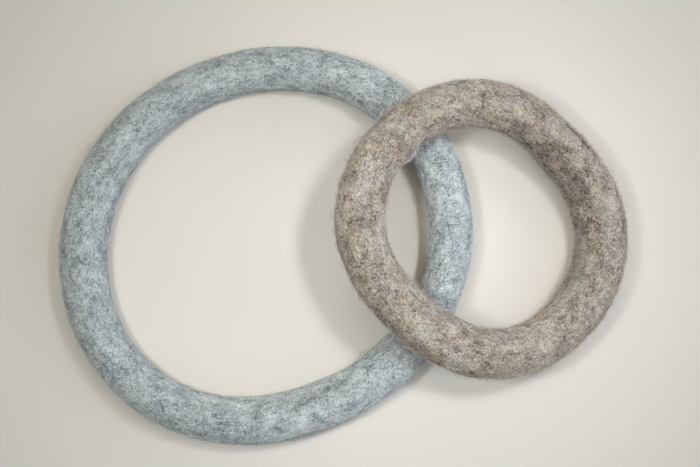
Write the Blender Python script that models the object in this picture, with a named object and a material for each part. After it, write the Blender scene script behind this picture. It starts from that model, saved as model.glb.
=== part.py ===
"""A pair of hand-felted wool dryer rings.

A large ring lies flat and a small ring leans on it: the small ring crosses over
the large one twice and touches the ground on its far side. Each ring is built in
the three layers it is felted in: a twisted roving core, a wrap of carded batting
and a dense felt coat. The wrap and the coat are sheets rolled round the ring, so
each closes on itself in a slanted lap that runs all the way round.

Metres, +Z up. The origin is on the ground, under the middle of the pair.
"""

import math

import bmesh
import bpy
from mathutils import Matrix, Vector

MM = 0.001

# ---------------------------------------------------------------- dimensions
# Millimetres and degrees. A ring's outline is a mean radius with a few lobes:
# (how many lobes, how high, which way the first one points). The thickness of
# the ring varies in the same way.
LARGE_CENTRE = (-37.9, 0.6, 0.0)
LARGE_RADIUS = 88.1
LARGE_LOBES = ((2, 4.4, 33.0), (3, 0.4, -2.0), (4, 0.4, -35.0))
LARGE_HALF_THICKNESS = 11.4
LARGE_UNEVEN = ((1, 0.4, -121.0), (3, 0.3, 46.0))
LARGE_STATIONS = 52

SMALL_CENTRE = (64.6, 8.3, 15.7)
SMALL_LEAN = 13.75         # how far the small ring leans
SMALL_LEAN_TOWARD = 2.5    # the side that comes down to the ground
SMALL_RADIUS = 59.3
SMALL_LOBES = ((2, 3.3, -42.0), (3, 0.4, -52.0), (4, 1.0, 2.0))
SMALL_HALF_THICKNESS = 12.2
SMALL_UNEVEN = ((1, 0.7, -46.0), (2, 0.35, 17.0))
SMALL_STATIONS = 44

FOOT_SINK = 0.06           # share of the half thickness pressed flat underneath
COAT_THICKNESS = 3.0
LAYER_GAP = 0.3
CORE_RADIUS = 3.6
CORE_STRAND_RELIEF = 0.25  # how far the three strands stand out
CORE_STRANDS = 3
CORE_TURNS = 2             # whole turns of twist round the hoop
CORE_GAP = 0.35
LAP_GAP = 0.5              # opening of a lap, along the surface

# Directions round the section: 0 points away from the ring's middle, 90 up,
# 180 towards the middle, 270 down.
INNER_STEP = 30.0
COAT_LAP_OUTSIDE = 205.0
COAT_LAP_INSIDE = 230.0
BATTING_LAP_OUTSIDE = 80.0
BATTING_LAP_INSIDE = 110.0

BLUE_GREY_FELT = (0.64, 0.67, 0.68)
BROWN_GREY_FELT = (0.63, 0.60, 0.56)
UNDYED_BATTING = (0.80, 0.77, 0.70)
UNDYED_CORE = (0.76, 0.72, 0.64)


# ---------------------------------------------------------------- helpers
def clear_scene():
    for obj in list(bpy.data.objects):
        bpy.data.objects.remove(obj, do_unlink=True)


def linear(channel):
    if channel <= 0.04045:
        return channel / 12.92
    return ((channel + 0.055) / 1.055) ** 2.4


def wool_material(name, colour, roughness):
    material = bpy.data.materials.new(name)
    material.use_nodes = True
    shader = next(n for n in material.node_tree.nodes if n.type == "BSDF_PRINCIPLED")
    rgb = [linear(c) for c in colour]
    shader.inputs["Base Color"].default_value = (*rgb, 1.0)
    shader.inputs["Roughness"].default_value = roughness
    shader.inputs["Metallic"].default_value = 0.0
    material.diffuse_color = (*rgb, 1.0)
    return material


def lobed(mean, lobes, angle):
    """A value that varies round the ring; angle in radians."""
    return mean + sum(h * math.cos(n * (angle - math.radians(d))) for n, h, d in lobes)


def at(radius, direction, centre_height):
    """A point of the section: distance from the ring line, and height."""
    turn = math.radians(direction)
    return radius * math.cos(turn), centre_height + radius * math.sin(turn)


def spread(start, end, count):
    """count + 1 directions from start to end."""
    return [start + (end - start) * i / count for i in range(count + 1)]


def half_lap(radius):
    return math.degrees(LAP_GAP / 2 / radius)


# ---------------------------------------------------------------- sections
def coat_section(half):
    """Felt coat: round outside with a flat foot, round inside, one slanted lap."""
    height = half * (1 - FOOT_SINK)
    foot = math.degrees(math.acos(1 - FOOT_SINK))
    inner = half - COAT_THICKNESS
    lap, inner_lap = half_lap(half), half_lap(inner)
    outside = spread(COAT_LAP_OUTSIDE + lap, 270 - foot, 2)
    outside += spread(270 + foot, COAT_LAP_OUTSIDE + 360 - lap, 12)
    count = round(360 / INNER_STEP)
    inside = [COAT_LAP_INSIDE + INNER_STEP * i for i in range(count + 1)]
    inside[0] += inner_lap
    inside[-1] -= inner_lap
    points = [at(half, d, height) for d in outside]
    points += [at(inner, d, height) for d in reversed(inside)]
    return points


def batting_section(half):
    """Batting: a round wrap that fills the coat, with its own slanted lap."""
    height = half * (1 - FOOT_SINK)
    outer = half - COAT_THICKNESS - LAYER_GAP
    inner = CORE_RADIUS + CORE_STRAND_RELIEF + CORE_GAP
    count = round(360 / INNER_STEP)
    outside = [BATTING_LAP_OUTSIDE + INNER_STEP * i for i in range(count + 1)]
    inside = [BATTING_LAP_INSIDE + INNER_STEP * i for i in range(count + 1)]
    for ring, radius in ((outside, outer), (inside, inner)):
        ring[0] += half_lap(radius)
        ring[-1] -= half_lap(radius)
    points = [at(outer, d, height) for d in outside]
    points += [at(inner, d, height) for d in reversed(inside)]
    return points


def core_section(half, angle):
    """Roving core: three strands twisted together."""
    height = half * (1 - FOOT_SINK)
    points = []
    for direction in spread(0.0, 360.0, 12)[:-1]:
        twist = CORE_STRANDS * (math.radians(direction) - CORE_TURNS * angle)
        points.append(at(CORE_RADIUS + CORE_STRAND_RELIEF * math.cos(twist), direction, height))
    return points


# ---------------------------------------------------------------- ring layers
def ring_layer(name, section, radius, lobes, half, uneven, stations, parent, material):
    """Carry a closed section round the ring and close the ring on itself."""
    bm = bmesh.new()
    loops = []
    for i in range(stations):
        angle = 2 * math.pi * i / stations
        line = lobed(radius, lobes, angle)
        points = section(lobed(half, uneven, angle), angle)
        loops.append([
            bm.verts.new(Vector((
                (line + out) * math.cos(angle) * MM,
                (line + out) * math.sin(angle) * MM,
                up * MM)))
            for out, up in points])
    for i, loop in enumerate(loops):
        following = loops[(i + 1) % stations]
        for j in range(len(loop)):
            k = (j + 1) % len(loop)
            bm.faces.new((loop[j], following[j], following[k], loop[k]))
    bmesh.ops.triangulate(bm, faces=bm.faces)
    bmesh.ops.recalc_face_normals(bm, faces=bm.faces)
    mesh = bpy.data.meshes.new(name)
    bm.to_mesh(mesh)
    bm.free()
    mesh.shade_smooth()
    mesh.set_sharp_from_angle(angle=math.radians(40))
    mesh.materials.append(material)
    obj = bpy.data.objects.new(name, mesh)
    bpy.context.scene.collection.objects.link(obj)
    obj.parent = parent
    return obj


def placed_empty(name, centre, lean=0.0, toward=0.0):
    """A guide at the ring's middle, on the plane that the ring's foot lies in."""
    guide = bpy.data.objects.new(name, None)
    guide.empty_display_size = 0.02
    bpy.context.scene.collection.objects.link(guide)
    turn = math.radians(toward)
    axis = Vector((-math.sin(turn), math.cos(turn), 0.0))
    guide.location = Vector(centre) * MM
    guide.rotation_mode = "QUATERNION"
    guide.rotation_quaternion = Matrix.Rotation(math.radians(lean), 3, axis).to_quaternion()
    return guide


def wool_ring(prefix, place, radius, lobes, half, uneven, stations, coat_colour):
    shape = (radius, lobes, half, uneven, stations, place)
    ring_layer(prefix + "_core", core_section, *shape,
               wool_material(prefix + "_core_roving", UNDYED_CORE, 1.0))
    ring_layer(prefix + "_batting", lambda h, angle: batting_section(h), *shape,
               wool_material(prefix + "_carded_batting", UNDYED_BATTING, 1.0))
    ring_layer(prefix + "_felt_coat", lambda h, angle: coat_section(h), *shape,
               wool_material(prefix + "_felt", coat_colour, 0.95))


def main():
    clear_scene()
    large_place = placed_empty("large_ring_place", LARGE_CENTRE)
    small_place = placed_empty("small_ring_place", SMALL_CENTRE, SMALL_LEAN, SMALL_LEAN_TOWARD)
    wool_ring("large_ring", large_place, LARGE_RADIUS, LARGE_LOBES, LARGE_HALF_THICKNESS,
              LARGE_UNEVEN, LARGE_STATIONS, BLUE_GREY_FELT)
    wool_ring("small_ring", small_place, SMALL_RADIUS, SMALL_LOBES, SMALL_HALF_THICKNESS,
              SMALL_UNEVEN, SMALL_STATIONS, BROWN_GREY_FELT)
    bpy.context.view_layer.update()


main()
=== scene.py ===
import math

import bpy
import numpy as np
from mathutils import Matrix, Vector


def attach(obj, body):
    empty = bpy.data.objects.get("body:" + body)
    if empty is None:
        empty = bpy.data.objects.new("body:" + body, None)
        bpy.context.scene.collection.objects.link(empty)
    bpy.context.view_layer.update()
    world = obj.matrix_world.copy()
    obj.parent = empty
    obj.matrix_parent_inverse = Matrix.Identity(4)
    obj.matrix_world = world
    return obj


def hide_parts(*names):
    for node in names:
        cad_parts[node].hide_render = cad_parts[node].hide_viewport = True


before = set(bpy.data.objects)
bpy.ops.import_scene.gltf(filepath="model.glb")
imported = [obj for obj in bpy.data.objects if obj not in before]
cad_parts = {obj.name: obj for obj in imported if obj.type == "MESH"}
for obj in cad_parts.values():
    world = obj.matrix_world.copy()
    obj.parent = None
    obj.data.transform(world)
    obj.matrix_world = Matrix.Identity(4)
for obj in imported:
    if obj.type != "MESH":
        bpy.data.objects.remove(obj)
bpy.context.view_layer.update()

MM = 0.001
SINK = 0.06          # share of the half thickness pressed flat underneath
TURN = 2 * math.pi


# ---------------------------------------------------------------- small helpers
def linear(rgb):
    """Display colour, 0 to 255, as linear light."""
    c = np.asarray(rgb, float) / 255.0
    return np.where(c <= 0.04045, c / 12.92, ((c + 0.055) / 1.055) ** 2.4)


def lattice(ix, iy, iz, seed):
    h = (ix.astype(np.uint32) * np.uint32(374761393)
         + iy.astype(np.uint32) * np.uint32(668265263)
         + iz.astype(np.uint32) * np.uint32(2246822519)
         + np.uint32((seed * 3266489917) % (1 << 32)))
    h = (h ^ (h >> np.uint32(15))) * np.uint32(2246822519)
    h = (h ^ (h >> np.uint32(13))) * np.uint32(3266489917)
    return h ^ (h >> np.uint32(16))


def noise(points, size, seed):
    """Smooth random field, about -1 to 1, with features of the given size."""
    p = points.reshape(-1, 3) / size
    cell = np.floor(p).astype(np.int64)
    f = p - cell
    w = f * f * f * (f * (f * 6 - 15) + 10)
    total = np.zeros(len(p))
    for dx in (0, 1):
        wx = w[:, 0] if dx else 1 - w[:, 0]
        for dy in (0, 1):
            wxy = wx * (w[:, 1] if dy else 1 - w[:, 1])
            for dz in (0, 1):
                wxyz = wxy * (w[:, 2] if dz else 1 - w[:, 2])
                h = lattice(cell[:, 0] + dx, cell[:, 1] + dy, cell[:, 2] + dz, seed)
                up = (h & np.uint32(1023)) / 511.5 - 1
                around = ((h >> np.uint32(10)) & np.uint32(32767)) * (TURN / 32768)
                flat = np.sqrt(np.maximum(1 - up * up, 0))
                total += wxyz * (flat * np.cos(around) * (f[:, 0] - dx)
                                 + flat * np.sin(around) * (f[:, 1] - dy)
                                 + up * (f[:, 2] - dz))
    return (total * 1.7).reshape(points.shape[:-1])


def smooth(low, high, x):
    t = np.clip((x - low) / (high - low), 0, 1)
    return t * t * (3 - 2 * t)


def blend_colours(stops, value):
    """Linear colours along a list of (position, display colour)."""
    at = [s[0] for s in stops]
    rgb = np.array([linear(s[1]) for s in stops])
    return np.stack([np.interp(value, at, rgb[:, c]) for c in range(3)], -1)


def apart(angle, degrees):
    """Signed distance between an angle and a direction in degrees, in radians."""
    return (angle - math.radians(degrees) + math.pi) % TURN - math.pi


# ---------------------------------------------------------------- the two rings
class Ring:
    """The outline and thickness of a felted ring, in millimetres and radians.
    Around the section 0 points away from the ring's middle and 90 degrees up."""

    def __init__(self, body, centre, radius, lobes, half, uneven, lean, toward, grid, seed):
        self.body, self.radius, self.lobes = body, radius, lobes
        self.half, self.uneven, self.grid, self.seed = half, uneven, grid, seed
        turn = math.radians(toward)
        axis = Vector((-math.sin(turn), math.cos(turn), 0.0))
        self.turn = np.array(Matrix.Rotation(math.radians(lean), 3, axis))
        self.centre = np.array(centre, float)

    @staticmethod
    def lobed(mean, lobes, angle):
        return mean + sum(h * np.cos(n * (angle - math.radians(d))) for n, h, d in lobes)

    def line(self, th):
        return self.lobed(self.radius, self.lobes, th)

    def thick(self, th):
        return self.lobed(self.half, self.uneven, th)

    def local(self, th, ph, lift):
        a = self.thick(th)
        out = self.line(th) + (a + lift) * np.cos(ph)
        up = a * (1 - SINK) + (a + lift) * np.sin(ph)
        up = 0.5 * (up + np.sqrt(up * up + 0.16))
        return np.stack([out * np.cos(th), out * np.sin(th), up], -1)

    def world(self, local):
        return local @ self.turn.T + self.centre

    def normal(self, th, ph):
        n = np.stack([np.cos(ph) * np.cos(th), np.cos(ph) * np.sin(th), np.sin(ph)], -1)
        return n @ self.turn.T

    def middle(self, count=360):
        th = np.arange(count) * (TURN / count)
        a = self.thick(th)
        r = self.line(th)
        return self.world(np.stack([r * np.cos(th), r * np.sin(th), a * (1 - SINK)], -1)), a

    def angles(self):
        n, m = self.grid
        return np.meshgrid(np.arange(n) * (TURN / n), np.arange(m) * (TURN / m), indexing="ij")

    def sample(self, field, th, ph):
        """A field kept on the grid, read between its points."""
        n, m = self.grid
        x, y = (th / TURN * n) % n, (ph / TURN * m) % m
        i, j = np.floor(x).astype(int) % n, np.floor(y).astype(int) % m
        u, v = x - np.floor(x), y - np.floor(y)
        k, l = (i + 1) % n, (j + 1) % m
        return ((field[i, j] * (1 - u) + field[k, j] * u) * (1 - v)
                + (field[i, l] * (1 - u) + field[k, l] * u) * v)


LARGE = Ring("large_ring", (-38.2, 0.5, 0.0), 88.8,
             ((2, 4.4, 32.5), (3, 0.4, -1.0), (4, 0.4, -35.0)),
             11.4, ((1, 0.4, -114.0), (2, 0.1, -59.0), (3, 0.3, 47.0)), 0.0, 0.0, (800, 112), 11)
SMALL = Ring("small_ring", (65.4, 8.2, 15.7), 59.7,
             ((2, 3.4, -38.0), (3, 0.2, -52.0), (4, 0.9, 1.0)),
             12.2, ((1, 0.6, -54.0), (2, 0.3, 22.0)), 13.75, 2.5, (640, 136), 23)


# The layers inside the coats keep to these lines, this far below a round coat.
LARGE_INSIDE = Ring("large_ring", (-37.9, 0.6, 0.0), 88.1,
                    ((2, 4.4, 33.0), (3, 0.4, -2.0), (4, 0.4, -35.0)),
                    11.4, ((1, 0.4, -121.0), (3, 0.3, 46.0)), 0.0, 0.0, (800, 112), 11)
SMALL_INSIDE = Ring("small_ring", (64.6, 8.3, 15.7), 59.3,
                    ((2, 3.3, -42.0), (3, 0.4, -52.0), (4, 1.0, 2.0)),
                    12.2, ((1, 0.7, -46.0), (2, 0.35, 17.0)), 13.75, 2.5, (640, 136), 23)
LAYERS_BELOW = 3.3


def room(points, other):
    """How far points on one ring are from the other ring's surface."""
    line, a = other.middle()
    flat = points.reshape(-1, 3)
    gap = np.empty(len(flat))
    for s in range(0, len(flat), 4000):
        d = np.linalg.norm(flat[s:s + 4000, None, :] - line[None], axis=2) - a
        gap[s:s + 4000] = d.min(1)
    return gap.reshape(points.shape[:-1])


# Creases in the small ring: a lap of the coat on its outer side and a short fold
# on its inner side. (from, to) round the ring, (from, to) round the section,
# depth and half width in millimetres.
CREASES = (((55.0, 35.0), (38.0, 46.0), 0.85, 0.75),
           ((126.5, 116.5), (123.5, 124.0), 1.00, 0.36))


def crease(ring, th, ph):
    """Depth of the creases, 0 to 1 of a millimetre and so on, and how deep in one."""
    depth = np.zeros(np.broadcast(th, ph).shape)
    for (t0, t1), (p0, p1), deep, half in CREASES:
        along = apart(th, t0) / math.radians(t1 - t0)
        centre = math.radians(p0) + math.radians(p1 - p0) * along
        across = ((ph - centre + math.pi) % TURN - math.pi) * ring.half
        across = across + 0.35 * np.sin(math.radians(t0 - t1) * along * 46.0) + 0.25 * np.sin(23.0 * along + 1.0)
        ends = smooth(-0.15, 0.25, along) * smooth(1.15, 0.75, along)
        depth = np.maximum(depth, deep * ends * np.exp(-0.5 * (across / half) ** 2))
    return depth


def settled(ph, widest, top, square):
    """Distance from the middle of a round section of half thickness 1 to the outline
    of one that has settled on the floor: widest low down, with a broad foot."""
    t = np.linspace(0.0, TURN, 721)[:-1]
    c, s = np.cos(t), np.sin(t)
    x = np.where(s >= 0, c, np.sign(c) * np.abs(c) ** (2 / square))
    z = np.where(s >= 0, widest + (top - widest) * s, widest * (1 - np.abs(s) ** (2 / square)))
    z = z - (1 - SINK)
    way, far = np.arctan2(z, x) % TURN, np.hypot(x, z)
    order = np.argsort(way)
    return np.interp(ph % TURN, way[order], far[order], period=TURN)


def shape(ring, th, ph):
    """How far the plain ring's section stands off a round one."""
    if ring.body == "large_ring":
        # It stays rounder and keeps its full height under the other ring.
        full = smooth(1.30, 0.90, np.abs(apart(th, 1.0)))
        far = (1 - full) * settled(ph, 0.58, 1.80, 3.6) + full * settled(ph, 0.86, 1.94, 2.2)
    else:
        down = smooth(1.5, 0.6, np.abs(apart(th, 2.5)))
        far = (1 - down) * settled(ph, 0.94, 1.80, 2.0) + down * settled(ph, 0.60, 1.78, 3.5)
    return ring.thick(th) * (far - 1.0) - 0.45 * np.cos(ph) ** 2


def relief(ring, other, sizes):
    """Height of the felt over the plain ring, on the ring's grid: the settled section
    and the felt's lumps."""
    th, ph = ring.angles()
    base = ring.local(th, ph, 0.0)
    lift = shape(ring, th, ph)
    lift = lift + sum(h * noise(base, size, ring.seed + i) for i, (size, h) in enumerate(sizes))
    if ring.body == "small_ring":
        lift = lift - crease(ring, th, ph)
    gap = room(ring.world(base), other)
    lift = np.minimum(lift, 0.5 * gap - 0.06)
    # The coat always covers the layers inside it.
    inside = LARGE_INSIDE if ring.body == "large_ring" else SMALL_INSIDE
    for _ in range(3):
        cover = room(ring.world(ring.local(th, ph, lift)), inside) + LAYERS_BELOW
        lift = lift + 0.5 * (0.7 - cover + np.sqrt((0.7 - cover) ** 2 + 0.04)) * (cover < 1.6)
    return np.minimum(lift, 0.5 * gap - 0.06), base, gap


# ---------------------------------------------------------------- meshes
def new_object(name, mesh, body, material):
    mesh.materials.append(material)
    obj = bpy.data.objects.new(name, mesh)
    bpy.context.scene.collection.objects.link(obj)
    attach(obj, body)
    return obj


def filled_mesh(name, points, starts, corners, colours, uv):
    """A mesh from arrays: points in millimetres, faces as runs of corners."""
    mesh = bpy.data.meshes.new(name)
    mesh.vertices.add(len(points))
    mesh.vertices.foreach_set("co", (points * MM).astype(np.float32).ravel())
    mesh.loops.add(len(corners))
    mesh.loops.foreach_set("vertex_index", corners.astype(np.int32))
    mesh.polygons.add(len(starts))
    mesh.polygons.foreach_set("loop_start", starts.astype(np.int32))
    mesh.update(calc_edges=True)
    mesh.validate()
    wool = mesh.color_attributes.new("wool", "FLOAT_COLOR", "POINT")
    rgba = np.ones((len(points), 4), np.float32)
    rgba[:, :3] = colours
    wool.data.foreach_set("color", rgba.ravel())
    layer = mesh.uv_layers.new(name="OFBake")
    layer.uv.foreach_set("vector", uv.astype(np.float32).ravel())
    mesh.shade_smooth()
    return mesh


def coat_mesh(name, ring, lift, colours):
    n, m = ring.grid
    th, ph = ring.angles()
    points = ring.world(ring.local(th, ph, lift)).reshape(-1, 3)
    points[:, 2] = np.maximum(points[:, 2], 0.03)
    i, j = np.meshgrid(np.arange(n), np.arange(m), indexing="ij")
    i, j = i.ravel(), j.ravel()
    k, l = (i + 1) % n, (j + 1) % m
    corners = np.stack([i * m + j, k * m + j, k * m + l, i * m + l], 1).ravel()
    starts = np.arange(n * m) * 4
    # The long strip of the ring is laid on the map in three rows.
    strips = 3
    per = -(-n // strips)
    row = i // per
    across = np.stack([i, i + 1, i + 1, i], 1) - (row * per)[:, None]
    along = np.stack([j, j, j + 1, j + 1], 1)
    u = 0.01 + 0.98 * across / per
    v = (row[:, None] + 0.02 + 0.96 * along / m) / strips
    uv = np.stack([u, v], -1).reshape(-1, 2)
    return filled_mesh(name, points, starts, corners, colours.reshape(-1, 3), uv)


def strand_mesh(name, points, normals, widths, flat, colours):
    """Closed three-sided fibres that run to a point at both ends. points and normals
    are (fibre, step, 3); flat is a fibre's height over its width."""
    n, k = points.shape[:2]
    ahead = points[:, 2:] - points[:, :-2]
    ahead /= np.linalg.norm(ahead, axis=2, keepdims=True) + 1e-12
    side = np.cross(ahead, normals[:, 1:-1])
    side /= np.linalg.norm(side, axis=2, keepdims=True) + 1e-12
    over = np.cross(side, ahead)
    rings = k - 2
    size = 3 * rings + 2
    verts = np.empty((n, size, 3))
    verts[:, 0], verts[:, -1] = points[:, 0], points[:, -1]
    for j, turn in enumerate((90.0, 210.0, 330.0)):
        c, s = math.cos(math.radians(turn)), math.sin(math.radians(turn))
        verts[:, 1 + j:-1:3] = points[:, 1:-1] + widths[:, 1:-1, None] * (c * over * flat + s * side)
    corners, starts, u, v = [], [], [], []

    def face(ids, across, along):
        starts.append(len(corners))
        corners.extend(ids)
        u.extend(along)
        v.extend(across)

    for j in range(3):
        q = (j + 1) % 3
        low, mid, high = j / 3, (j + 0.5) / 3, (j + 1) / 3
        face((0, 1 + q, 1 + j), (mid, high, low), (0, 1 / (k - 1), 1 / (k - 1)))
        for r in range(rings - 1):
            p, t = 1 + 3 * r, (r + 1) / (k - 1)
            face((p + j, p + q, p + 3 + q, p + 3 + j), (low, high, high, low),
                 (t, t, t + 1 / (k - 1), t + 1 / (k - 1)))
        p, t = 1 + 3 * (rings - 1), (k - 2) / (k - 1)
        face((size - 1, p + j, p + q), (mid, low, high), (1, t, t))
    # Each fibre has its own small square of the map.
    many = max(1, math.ceil(math.sqrt(n)))
    cell = np.arange(n)[:, None]
    uv = np.stack([(cell % many + 0.12 + 0.76 * np.array(u)) / many,
                   (cell // many + 0.12 + 0.76 * np.array(v)) / many], -1).reshape(-1, 2)
    all_corners = (np.array(corners)[None] + cell * size).ravel()
    all_starts = (np.array(starts)[None] + cell * len(corners)).ravel()
    shade = np.repeat(colours[:, None], size, 1).reshape(-1, 3)
    return filled_mesh(name, verts.reshape(-1, 3), all_starts, all_corners, shade, uv)


# ---------------------------------------------------------------- fibres
def roots(ring, rng, count):
    """Places spread evenly over the ring's surface, thinner on the pressed foot."""
    th = rng.uniform(0, TURN, count * 4)
    ph = rng.uniform(0, TURN, count * 4)
    a, r = ring.thick(th), ring.line(th)
    share = (r + a * np.cos(ph)) / (r + a)
    share *= 1 - 0.7 * smooth(0.75, 0.95, -np.sin(ph))
    keep = rng.uniform(0, 1, count * 4) < share
    return th[keep][:count], ph[keep][:count]


def wander(ring, rng, th, ph, heading, length, curl, steps, jitter):
    """Paths that run over the surface, turning as they go."""
    a_th, a_ph = [th], [ph]
    ds = length / steps
    bend = rng.normal(0, curl, len(th))
    drift = rng.normal(0, curl * 0.5, len(th))
    for s in range(steps):
        heading = heading + bend * ds + drift * ds * (s - steps / 2) * 0.5 + rng.normal(0, jitter, len(th))
        th = a_th[-1] + ds * np.cos(heading) / (ring.line(a_th[-1]) + ring.half * np.cos(a_ph[-1]))
        ph = a_ph[-1] + ds * np.sin(heading) / ring.thick(a_th[-1])
        a_th.append(th)
        a_ph.append(ph)
    return np.stack(a_th, 1), np.stack(a_ph, 1)


def scattered(ring, rng, count, length, curl, steps, jitter):
    """Fibres strewn over the ring. Neighbours lie roughly the same way, and the way
    they lie drifts from place to place."""
    th, ph = roots(ring, rng, count)
    n = len(th)
    base = ring.local(th, ph, 0.0)
    heading = 2.2 * noise(base, 9.0, ring.seed + 50) + 1.6 * noise(base, 4.0, ring.seed + 51)
    heading = heading + rng.normal(0, 0.75, n) + math.pi * rng.integers(0, 2, n)
    return wander(ring, rng, th, ph, heading, rng.uniform(*length, n), curl, steps, jitter)


def uneven(rng, n):
    """Random tones that fall further below the middle than they rise above it."""
    t = rng.normal(0, 1, n)
    return np.where(t < 0, 1.2 * t, 0.8 * t) + 0.16


class Strands:
    """Fibres along given paths on one ring, made ready for a mesh."""

    def __init__(self, ring, lift, gap, paths):
        self.ring = ring
        self.th, self.ph = paths
        self.n, steps = self.th.shape
        self.s = np.linspace(0, 1, steps)[None]
        self.floor = ring.sample(lift, self.th, self.ph)
        self.free = ring.sample(gap, self.th, self.ph).min(1)
        self.root = ring.local(self.th[:, 0], self.ph[:, 0], 0.0)

    def place(self, height, widths, flat, other=None):
        self.points = self.ring.world(self.ring.local(self.th, self.ph, self.floor + height))
        self.normals = self.ring.normal(self.th, self.ph)
        self.widths, self.flat = widths * np.ones_like(self.th), flat
        reach = height.max(1) + self.widths.max(1) * flat
        low = (self.points[..., 2] - self.widths).min(1)
        clear = self.free > 2.2 * reach + 0.25
        if other is not None:
            clear = room(self.points, other).min(1) > 0.4
        self.keep = clear & (low > 0.03)

    def leave_open(self, depth):
        """Take out the fibres that would close a crease over."""
        self.keep &= crease(self.ring, self.th, self.ph).max(1) < depth

    def build(self, name, parts, colours, slot, material):
        order = np.argsort(self.th[:, 0] % TURN)
        order = order[self.keep[order]]
        for part, chosen in enumerate(np.array_split(order, parts)):
            label = name if parts == 1 else f"{name}_{part + 1}"
            mesh = strand_mesh(label, self.points[chosen], self.normals[chosen],
                               self.widths[chosen], self.flat, colours[chosen])
            new_object(label, mesh, self.ring.body, material)


# ---------------------------------------------------------------- materials
def node(tree, kind, **values):
    n = tree.nodes.new(kind)
    for key, value in values.items():
        setattr(n, key, value)
    return n


def wool_material(name, grain_scale, grain_amount, bump, rough, sheen, specular):
    """Wool: the colour comes with the surface, and a fine fibrous grain breaks it up."""
    material = bpy.data.materials.new(name)
    material.use_nodes = True
    tree = material.node_tree
    shader = next(n for n in tree.nodes if n.type == "BSDF_PRINCIPLED")
    shader.inputs["Roughness"].default_value = rough
    shader.inputs["Specular IOR Level"].default_value = specular
    shader.inputs["Sheen Weight"].default_value = sheen
    shader.inputs["Sheen Roughness"].default_value = 0.6
    place = node(tree, "ShaderNodeTexCoord")
    colour = node(tree, "ShaderNodeVertexColor", layer_name="wool")
    fine = node(tree, "ShaderNodeTexNoise")
    fine.inputs["Scale"].default_value = grain_scale
    fine.inputs["Detail"].default_value = 3.0
    fine.inputs["Roughness"].default_value = 0.9
    fine.inputs["Distortion"].default_value = 1.2
    tree.links.new(place.outputs["Object"], fine.inputs["Vector"])
    ramp = node(tree, "ShaderNodeMapRange")
    ramp.inputs["From Min"].default_value = 0.3
    ramp.inputs["From Max"].default_value = 0.7
    ramp.inputs["To Min"].default_value = 1.0 - grain_amount
    ramp.inputs["To Max"].default_value = 1.0 + grain_amount
    tree.links.new(fine.outputs["Fac"], ramp.inputs["Value"])
    mult = node(tree, "ShaderNodeVectorMath", operation="SCALE")
    tree.links.new(colour.outputs["Color"], mult.inputs[0])
    tree.links.new(ramp.outputs["Result"], mult.inputs["Scale"])
    tree.links.new(mult.outputs["Vector"], shader.inputs["Base Color"])
    if bump:
        rise = node(tree, "ShaderNodeBump")
        rise.inputs["Strength"].default_value = 1.0
        rise.inputs["Distance"].default_value = bump
        tree.links.new(fine.outputs["Fac"], rise.inputs["Height"])
        tree.links.new(rise.outputs["Normal"], shader.inputs["Normal"])
    return material


def inner_material(name, low, high, scale):
    """Undyed wool inside the ring: cream with darker drifts and a soft nap."""
    material = bpy.data.materials.new(name)
    material.use_nodes = True
    tree = material.node_tree
    shader = next(n for n in tree.nodes if n.type == "BSDF_PRINCIPLED")
    shader.inputs["Roughness"].default_value = 1.0
    shader.inputs["Specular IOR Level"].default_value = 0.1
    shader.inputs["Sheen Weight"].default_value = 0.3
    place = node(tree, "ShaderNodeTexCoord")
    fine = node(tree, "ShaderNodeTexNoise")
    fine.inputs["Scale"].default_value = scale
    fine.inputs["Detail"].default_value = 6.0
    fine.inputs["Distortion"].default_value = 1.5
    ramp = node(tree, "ShaderNodeValToRGB")
    ramp.color_ramp.elements[0].position = 0.3
    ramp.color_ramp.elements[0].color = (*linear(low), 1)
    ramp.color_ramp.elements[1].position = 0.7
    ramp.color_ramp.elements[1].color = (*linear(high), 1)
    rise = node(tree, "ShaderNodeBump")
    rise.inputs["Distance"].default_value = 0.0004
    tree.links.new(place.outputs["Object"], fine.inputs["Vector"])
    tree.links.new(fine.outputs["Fac"], ramp.inputs["Fac"])
    tree.links.new(ramp.outputs["Color"], shader.inputs["Base Color"])
    tree.links.new(fine.outputs["Fac"], rise.inputs["Height"])
    tree.links.new(rise.outputs["Normal"], shader.inputs["Normal"])
    return material


# ---------------------------------------------------------------- wool colours
# From the darkest fibre to the palest.
BLUE = ((0.0, (81, 92, 96)), (0.25, (139, 151, 154)), (0.5, (187, 198, 199)),
        (0.75, (221, 230, 230)), (1.0, (248, 252, 252)))
BROWN = ((0.0, (66, 51, 37)), (0.25, (126, 110, 92)), (0.5, (178, 167, 151)),
         (0.75, (215, 208, 195)), (1.0, (243, 241, 232)))


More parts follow.
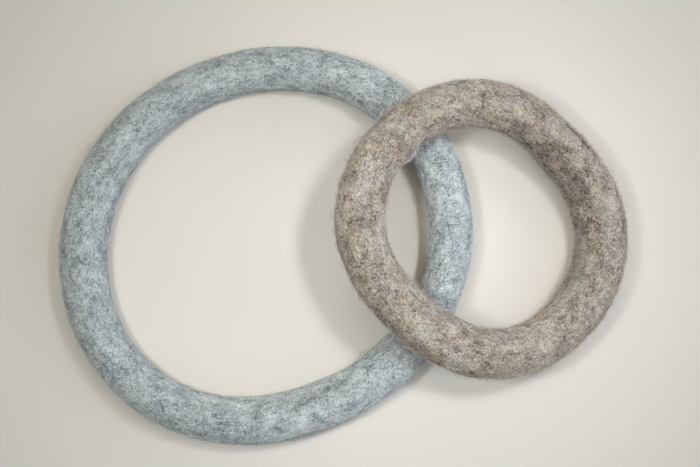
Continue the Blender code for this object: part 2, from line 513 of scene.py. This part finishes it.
def tone(key, th, ph):
    """How pale the wool is at a place, before the single fibres differ, with painted shade on the small ring's
    shaded sides and in its creases. The patches are drawn out along the ring."""
    ring = LARGE if key == "large" else SMALL
    out = ring.line(th) / 1.4 + ring.thick(th) * np.cos(ph)
    base = np.stack([out * np.cos(th), out * np.sin(th), ring.thick(th) * np.sin(ph)], -1)
    if key == "large":
        return (0.57 + 0.10 * noise(base, 18.0, 70) + 0.18 * noise(base, 8.0, 71)
                + 0.26 * noise(base, 4.0, 72) + 0.24 * noise(base, 2.2, 73))
    value = (0.57 + 0.09 * noise(base, 18.0, 80) + 0.18 * noise(base, 8.0, 81)
             + 0.24 * noise(base, 4.0, 82) + 0.20 * noise(base, 2.2, 83))
    # The inner side from the top round to the right is darker: partly browner wool, partly painted shade where
    # that side is turned from the key light.
    inner_wool_and_shade = smooth(100.0, 135.0, np.degrees(ph) % 360.0) * smooth(230.0, 190.0, np.degrees(ph) % 360.0)
    inner_wool_and_shade = inner_wool_and_shade * np.exp(-0.5 * (apart(th, 38.0) / math.radians(34.0)) ** 2)
    value = value - 0.28 * inner_wool_and_shade * (1 + 0.9 * noise(base, 6.0, 84))
    # Painted shade low on the outer side at the lower left, which is turned from the key light, with some darker
    # wool in it.
    outer_shade_and_wool = smooth(62.0, 25.0, np.degrees(ph + math.pi) % 360.0 - 180.0)
    outer_shade_and_wool = outer_shade_and_wool * np.exp(-0.5 * (apart(th, 240.0) / math.radians(24.0)) ** 2)
    value = value - 0.24 * outer_shade_and_wool * (1 + 0.8 * noise(base, 5.0, 85))
    # Painted shade in the creases.
    return value - 0.50 * np.minimum(crease(SMALL, th, ph) / 0.5, 1)


def tinted(key, rng, colours, base):
    """Fibres of one lot of wool still differ: some warmer, some rosier, in drifts."""
    n = len(colours)
    warm = rng.normal(0, 1, n) + 1.5 * noise(base, 2.4, 91) + 1.5 * noise(base, 6.0, 92)
    rosy = rng.normal(0, 1, n) + 1.5 * noise(base, 2.4, 93) + 1.5 * noise(base, 7.0, 94)
    much, more = (0.013, 0.009) if key == "large" else (0.042, 0.026)
    shift = (much * warm[:, None] * np.array([[1.0, 0.0, -1.2]])
             + more * rosy[:, None] * np.array([[0.8, -0.6, 0.3]]))
    colours = colours * (1 + shift)
    if key == "small":
        rusty = (rng.uniform(0, 1, (n, 1)) < 0.05) * rng.uniform(0.4, 1.0, (n, 1))
        colours = colours * (1 + rusty * np.array([[0.10, -0.13, -0.22]]))
    return np.clip(colours, 0, 0.95)


# ---------------------------------------------------------------- build the rings
rng = np.random.default_rng(4092)
SLOT = {"large": "blue_grey_felt", "small": "brown_grey_felt"}
felt = {
    "large": wool_material("blue_grey_felt", 1500.0, 0.34, 0.0003, 0.95, 0.20, 0.10),
    "small": wool_material("brown_grey_felt", 1500.0, 0.36, 0.0003, 0.95, 0.20, 0.10),
}
fibre = {
    "large": wool_material("blue_grey_fibre", 900.0, 0.12, 0.0, 0.9, 0.15, 0.12),
    "small": wool_material("brown_grey_fibre", 900.0, 0.12, 0.0, 0.9, 0.15, 0.12),
}
LOOK = {
    "large": dict(sizes=((26.0, 0.35), (11.0, 0.22), (4.6, 0.16), (2.1, 0.12)), stops=BLUE,
                  locks=92000, lock_length=(1.1, 2.9), lock_curl=0.35, lock_rise=(0.02, 0.13),
                  lock_tone=0.36, fuzz=(0.22, 1.1), stray=700, curl=0.25),
    "small": dict(sizes=((26.0, 0.40), (11.0, 0.30), (4.6, 0.26), (2.1, 0.18)), stops=BROWN,
                  locks=78000, lock_length=(1.1, 3.2), lock_curl=0.60, lock_rise=(0.02, 0.18),
                  lock_tone=0.32, fuzz=(0.25, 1.7), stray=1500, curl=0.5),
}
# Single fibres that stand out on the small ring: where round the ring and round the
# section, which way they lie, how long, and their colour.
FLECKS = ((161.0, 91.0, 80.0, 2.4, (206, 118, 110)), (160.2, 90.0, 95.0, 1.8, (212, 150, 142)),
          (44.5, 142.0, 92.0, 4.6, (212, 124, 114)), (18.0, 144.0, 60.0, 2.4, (186, 126, 80)),
          (17.2, 142.0, 80.0, 2.0, (172, 112, 70)), (7.5, 148.0, 95.0, 2.4, (196, 134, 88)),
          (5.5, 146.0, 110.0, 2.0, (188, 130, 90)), (17.0, 75.0, 40.0, 2.4, (212, 172, 167)),
          (253.0, 69.0, 10.0, 2.8, (250, 247, 240)), (261.0, 70.0, 30.0, 2.4, (248, 245, 238)))

for key, ring, other in (("large", LARGE, SMALL), ("small", SMALL, LARGE)):
    look = LOOK[key]
    stops = look["stops"]
    lift, base, gap = relief(ring, other, look["sizes"])
    th, ph = ring.angles()
    # The coat is painted a little darker than the fibres' wool, as shade in the crevices between the locks.
    colours = blend_colours(stops, tone(key, th, ph) - 0.10)
    coat = new_object(key + "_ring_felt_body", coat_mesh(key + "_ring_felt_body", ring, lift, colours),
                      ring.body, felt[key])
    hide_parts(key + "_ring_felt_coat")

    def finish(strands, name, parts, value):
        colours = tinted(key, rng, blend_colours(stops, value), strands.root)
        strands.build(f"{key}_ring_{name}", parts, colours, SLOT[key], fibre[key])

    # Locks: flat wisps of fibre felted down into the surface.
    locks = Strands(ring, lift, gap, scattered(ring, rng, look["locks"], look["lock_length"],
                                               look["lock_curl"], 3, 0.2))
    n, s = locks.n, locks.s
    rise = rng.uniform(*look["lock_rise"], n)[:, None]
    wide = rng.uniform(0.12, 0.25, n)[:, None] * (0.4 + 0.6 * np.sin(math.pi * s))
    locks.place(-0.05 + rise * np.sin(math.pi * s) ** 0.7, wide, 0.4)
    if key == "small":
        locks.leave_open(0.70)
    finish(locks, "locks", 7, tone(key, locks.th[:, 0], locks.ph[:, 0])
           + look["lock_tone"] * uneven(rng, n))

    # Hairs: longer single fibres that lie over the locks.
    hairs = Strands(ring, lift, gap, scattered(ring, rng, 10000, (3.0, 7.0), look["curl"], 5, 0.2))
    n, s = hairs.n, hairs.s
    rise = rng.uniform(0.05, 0.28, n)[:, None]
    wide = rng.uniform(0.05, 0.09, n)[:, None] * (0.5 + 0.5 * np.sin(math.pi * s))
    hairs.place(-0.03 + rise * np.sin(math.pi * s) ** 0.6, wide, 0.8)
    if key == "small":
        hairs.leave_open(0.6)
    finish(hairs, "hairs", 2, 0.56 + 0.3 * uneven(rng, n))

    # Fuzz: fine fibre ends and loops that stand off the surface, paler than the wool: partly their own colour,
    # partly painted sheen for the bright rims.
    fuzz = Strands(ring, lift, gap, scattered(ring, rng, 19000, (1.5, 4.5), 0.5, 4, 0.3))
    n, s = fuzz.n, fuzz.s
    loop = (rng.uniform(0, 1, n) < 0.5)[:, None]
    high = (look["fuzz"][0] + look["fuzz"][1] * rng.uniform(0, 1, n) ** 2.2)[:, None]
    wide = rng.uniform(0.04, 0.06, n)[:, None] * np.where(loop, 1.0, 1.0 - 0.6 * s)
    fuzz.place(-0.08 + high * np.where(loop, np.sin(math.pi * s), s ** 1.3), wide, 1.0)
    if key == "small":
        fuzz.leave_open(0.6)
    finish(fuzz, "fuzz", 2, 0.72 + rng.normal(0, 0.18, n))

    # A few long stray fibres.
    stray = Strands(ring, lift, gap, scattered(ring, rng, look["stray"], (4.0, 10.0), 0.35, 8, 0.25))
    n, s = stray.n, stray.s
    loop = (rng.uniform(0, 1, n) < 0.45)[:, None]
    high = (0.5 + 2.2 * rng.uniform(0, 1, n) ** 1.8)[:, None]
    wide = rng.uniform(0.045, 0.07, n)[:, None] * np.where(loop, 1.0, 1.0 - 0.5 * s)
    stray.place(-0.08 + high * np.where(loop, np.sin(math.pi * s), s ** 1.4), wide, 1.0)
    finish(stray, "stray_fibres", 1, 0.55 + rng.normal(0, 0.2, n))

    if key == "small":
        # The fibres that stand out, each a small twist of three.
        t, p, lie, long, shade = (np.repeat(np.array(c, float), 3, 0) for c in zip(*FLECKS))
        n = len(t)
        paths = wander(ring, rng, np.radians(t) + rng.normal(0, 0.2, n) / 60, np.radians(p) + rng.normal(0, 0.2, n) / 12,
                       np.radians(lie) + rng.normal(0, 0.2, n), long * rng.uniform(0.7, 1.1, n), 0.3, 5, 0.1)
        fleck = Strands(ring, lift, gap, paths)
        wide = rng.uniform(0.12, 0.2, n)[:, None] * (0.4 + 0.6 * np.sin(math.pi * fleck.s))
        fleck.place(0.14 + 0.18 * np.sin(math.pi * fleck.s), wide, 0.6)
        fleck.build("small_ring_flecks", 1, linear(shade), SLOT[key], fibre[key])

        # Dark fibres pulled into the creases, their darkness painted shade in the folds.
        t, p = [], []
        for ((t0, t1), (p0, p1), deep, half), n in zip(CREASES, (110, 16)):
            along = rng.uniform(0.02, 0.75, (n, 1)) + rng.uniform(0.1, 0.3, (n, 1)) * np.linspace(0, 1, 6)[None]
            aside = rng.normal(0, 0.70 * half, (n, 1)) + rng.normal(0, 0.25 * half, (n, 6))
            t.append(np.radians(t0 + (t1 - t0) * along))
            p.append(np.radians(p0 + (p1 - p0) * along) + aside / ring.half)
        folded = Strands(ring, lift, gap, (np.concatenate(t), np.concatenate(p)))
        n = folded.n
        wide = rng.uniform(0.10, 0.19, n)[:, None] * (0.4 + 0.6 * np.sin(math.pi * folded.s))
        folded.place(0.02 + 0.10 * np.sin(math.pi * folded.s) * np.ones((n, 1)), wide, 0.6)
        finish(folded, "crease_shade_fibres", 1, rng.uniform(0.02, 0.34, n))

        # A few fibres that have come loose in a loop on the inner side.
        n = 6
        s = np.linspace(0, 1, 13)[None]
        start, end = rng.normal(133.0, 1.2, (n, 1)), rng.normal(146.0, 1.2, (n, 1))
        t = np.radians(start + (end - start) * (s + 0.12 * np.sin(TURN * s) * rng.normal(0.4, 0.5, (n, 1))))
        p = np.radians(rng.normal(158.0, 7.0, (n, 1)) + 8.0 * np.sin(math.pi * s) * rng.normal(0, 1, (n, 1)))
        loose = Strands(ring, lift, gap, (t, p))
        high = rng.uniform(1.6, 3.4, (n, 1))
        loose.place(-0.1 + high * np.sin(math.pi * s) ** 0.8, rng.uniform(0.08, 0.12, (n, 1)), 1.0, other)
        finish(loose, "loose_loop", 1, 0.92 + rng.normal(0, 0.06, n))

batting = inner_material("undyed_batting_wool", (196, 188, 170), (232, 226, 210), 350.0)
roving = inner_material("undyed_roving_wool", (180, 168, 146), (222, 212, 192), 500.0)
for key in ("large", "small"):
    for part, look in (("batting", batting), ("core", roving)):
        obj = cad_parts[f"{key}_ring_{part}"]
        obj.data.materials.clear()
        obj.data.materials.append(look)


# ---------------------------------------------------------------- floor, light, camera
floor_mesh = bpy.data.meshes.new("floor")
floor_mesh.from_pydata([(-4, -4, 0), (4, -4, 0), (4, 4, 0), (-4, 4, 0)], [], [(0, 1, 2, 3)])
floor = bpy.data.objects.new("floor", floor_mesh)
bpy.context.scene.collection.objects.link(floor)
paper = bpy.data.materials.new("pale_paper")
paper.use_nodes = True
shader = next(n for n in paper.node_tree.nodes if n.type == "BSDF_PRINCIPLED")
shader.inputs["Base Color"].default_value = (0.80, 0.768, 0.705, 1)
shader.inputs["Roughness"].default_value = 0.9
shader.inputs["Specular IOR Level"].default_value = 0.1
floor_mesh.materials.append(paper)

# An even, dim light from all round.
world = bpy.data.worlds.new("studio")
bpy.context.scene.world = world
world.use_nodes = True
sky = next(n for n in world.node_tree.nodes if n.type == "BACKGROUND")
sky.inputs["Color"].default_value = (0.226, 0.220, 0.198, 1.0)
sky.inputs["Strength"].default_value = 1.0


def lamp(name, azimuth, elevation, distance, power, colour, side, beam=180.0, aim=(0.0, 0.0)):
    """A square softbox aimed at a point on the floor; a beam narrower than 180
    degrees is a grid on its front."""
    data = bpy.data.lights.new(name, "AREA")
    data.energy = power
    data.color = colour
    data.shape = "SQUARE"
    data.size = side
    data.spread = math.radians(beam)
    obj = bpy.data.objects.new(name, data)
    bpy.context.scene.collection.objects.link(obj)
    a, e = math.radians(azimuth), math.radians(elevation)
    place = Vector((math.cos(e) * math.cos(a), math.cos(e) * math.sin(a), math.sin(e))) * distance
    obj.location = place
    obj.rotation_euler = (Vector((aim[0], aim[1], 0.0)) - place).to_track_quat("-Z", "Y").to_euler()
    obj.visible_camera = False
    return obj


AIM = (0.030, -0.025)
lamp("key_light", 36.0, 62.5, 0.675, 0.0744, (0.970, 0.973, 1.0), 0.11, 36.0, AIM)
lamp("left_light", 180.0, 68.0, 0.62, 0.1032, (1.0, 0.964, 0.964), 0.09, 60.0, AIM)
lamp("high_left_light", 168.0, 69.4, 0.812, 0.482, (0.796, 0.984, 1.0), 0.10)
lamp("near_right_light", 0.0, 66.6, 0.654, 0.328, (0.926, 0.947, 1.0), 0.08)
lamp("top_light", 90.0, 74.0, 0.62, 0.25, (1.0, 0.80, 0.50), 0.10)
lamp("right_softbox", 0.0, 30.0, 1.00, 0.150, (0.748, 0.793, 1.0), 0.50, 36.0, AIM)
lamp("corner_softbox", 45.0, 30.0, 0.75, 0.680, (0.719, 0.759, 1.0), 0.35)
lamp("back_softbox", 90.0, 30.0, 0.75, 0.453, (1.0, 0.931, 0.726), 0.35)
lamp("front_softbox", 315.0, 30.0, 1.50, 2.25, (0.741, 0.822, 1.0), 0.70)

camera_data = bpy.data.cameras.new("camera")
camera_data.lens = 65.0
camera_data.sensor_width = 36.0
camera_data.clip_start = 0.01
camera = bpy.data.objects.new("camera", camera_data)
bpy.context.scene.collection.objects.link(camera)
camera.location = (0.0033, 0.0059, 0.632)
bpy.context.scene.camera = camera
bpy.context.scene.view_settings.view_transform = "Standard"
bpy.context.scene.view_settings.look = "None"
